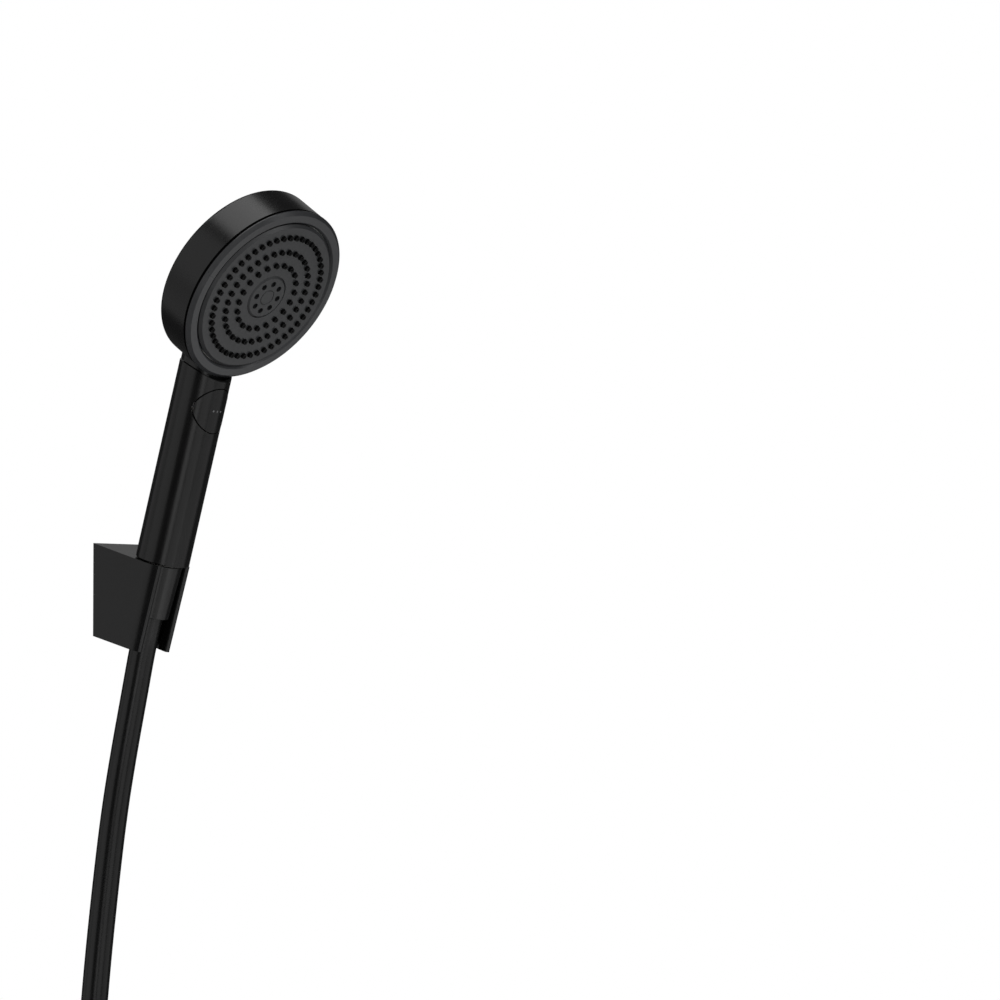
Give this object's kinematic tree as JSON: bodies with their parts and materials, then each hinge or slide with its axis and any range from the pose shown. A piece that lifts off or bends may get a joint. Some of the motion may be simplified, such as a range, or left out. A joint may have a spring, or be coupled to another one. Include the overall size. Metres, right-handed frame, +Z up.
{
  "type": "hand shower set",
  "caption": "Hand shower with a round spray head and button in a slotted wall holder, on a smooth flexible hose whose spare length is coiled and tied.",
  "frame": {"origin": "centre of the holder's back face, on the wall plane", "axes": "+Z up, +Y into the wall, -Y out into the room, +X to the right for a person facing the wall"},
  "size_m": [0.1853, 0.1396, 0.638],
  "materials": {
    "holder_black": "satin moulded ABS",
    "body_black": "satin painted ABS",
    "ring_black": "satin ABS, a shade lighter",
    "disc_black": "matt ABS",
    "nozzle_silicone": "matt silicone",
    "seal_rubber": "matt",
    "inner_plastic": "moulded acetal",
    "steel": "stainless",
    "steel_plate": "stainless sheet",
    "brass": "turned",
    "nut_black": "black coated brass",
    "hose_black": "satin PVC cover",
    "tie_fabric": "hook-and-loop tape"
  },
  "bodies": {
    "holder": {"holder_body": "holder_black", "wall_bracket": "steel_plate", "holder_grub_screw": "steel_plate"},
    "hose": {"hose_gasket": "seal_rubber", "hose_ferrule": "brass", "hose_crimp_sleeve": "steel", "hose_tube": "hose_black", "hose_tail": "hose_black", "hose_coil": "hose_black", "coil_tie": "tie_fabric", "wall_end_sleeve": "steel", "wall_end_ferrule": "brass", "wall_end_gasket": "seal_rubber"},
    "hand_shower": {"head_shell": "body_black", "face_ring": "ring_black", "head_oring": "seal_rubber", "spray_disc": "disc_black", "nozzle_mat": "nozzle_silicone", "distribution_plate": "inner_plastic", "manifold_plate": "inner_plastic", "centre_insert": "disc_black", "centre_screw": "steel", "handle_sleeve": "body_black", "diverter_housing": "inner_plastic", "plunger_seal": "seal_rubber", "water_tube": "inner_plastic", "inlet_fitting": "inner_plastic", "tube_orings": "seal_rubber", "inlet_strainer": "steel", "flow_limiter": "inner_plastic", "hose_nut": "body_black", "button_spring": "steel"},
    "button": {"button_cap": "body_black", "button_plunger": "inner_plastic"},
    "diverter": {"diverter_rotor": "inner_plastic"},
    "far_nut": {"wall_nut": "nut_black"}
  },
  "joints": [
    {"name": "lift_out", "type": "slide", "parent": "holder", "child": "hose", "axis": [0, -0.2914, 0.9566], "range_m": [0, 0.036]},
    {"name": "swivel", "type": "hinge", "parent": "hose", "child": "hand_shower", "pos_m": [0, -0.0351, 0.01503], "axis": [0, -0.2914, 0.9566], "continuous": true},
    {"name": "button_press", "type": "slide", "parent": "hand_shower", "child": "button", "axis": [0, 0.9566, 0.2914], "range_m": [0, 0.0025], "stiffness_N_per_m": 2000, "springref_m": -0.0015, "deforming": ["button_spring"]},
    {"name": "diverter_turn", "type": "hinge", "parent": "hand_shower", "child": "diverter", "pos_m": [0, -0.06125, 0.10089], "axis": [0, 0.9566, 0.2914], "range_deg": [0, 60]},
    {"name": "wall_nut_turn", "type": "hinge", "parent": "hose", "child": "far_nut", "pos_m": [0.047, -0.03815, -0.26], "axis": [-0.972, -0.1166, 0.2041], "continuous": true}
  ],
  "couplings": [
    {"joint": "diverter_turn", "follows": "button_press", "rad_per_m": 418.8}
  ]
}
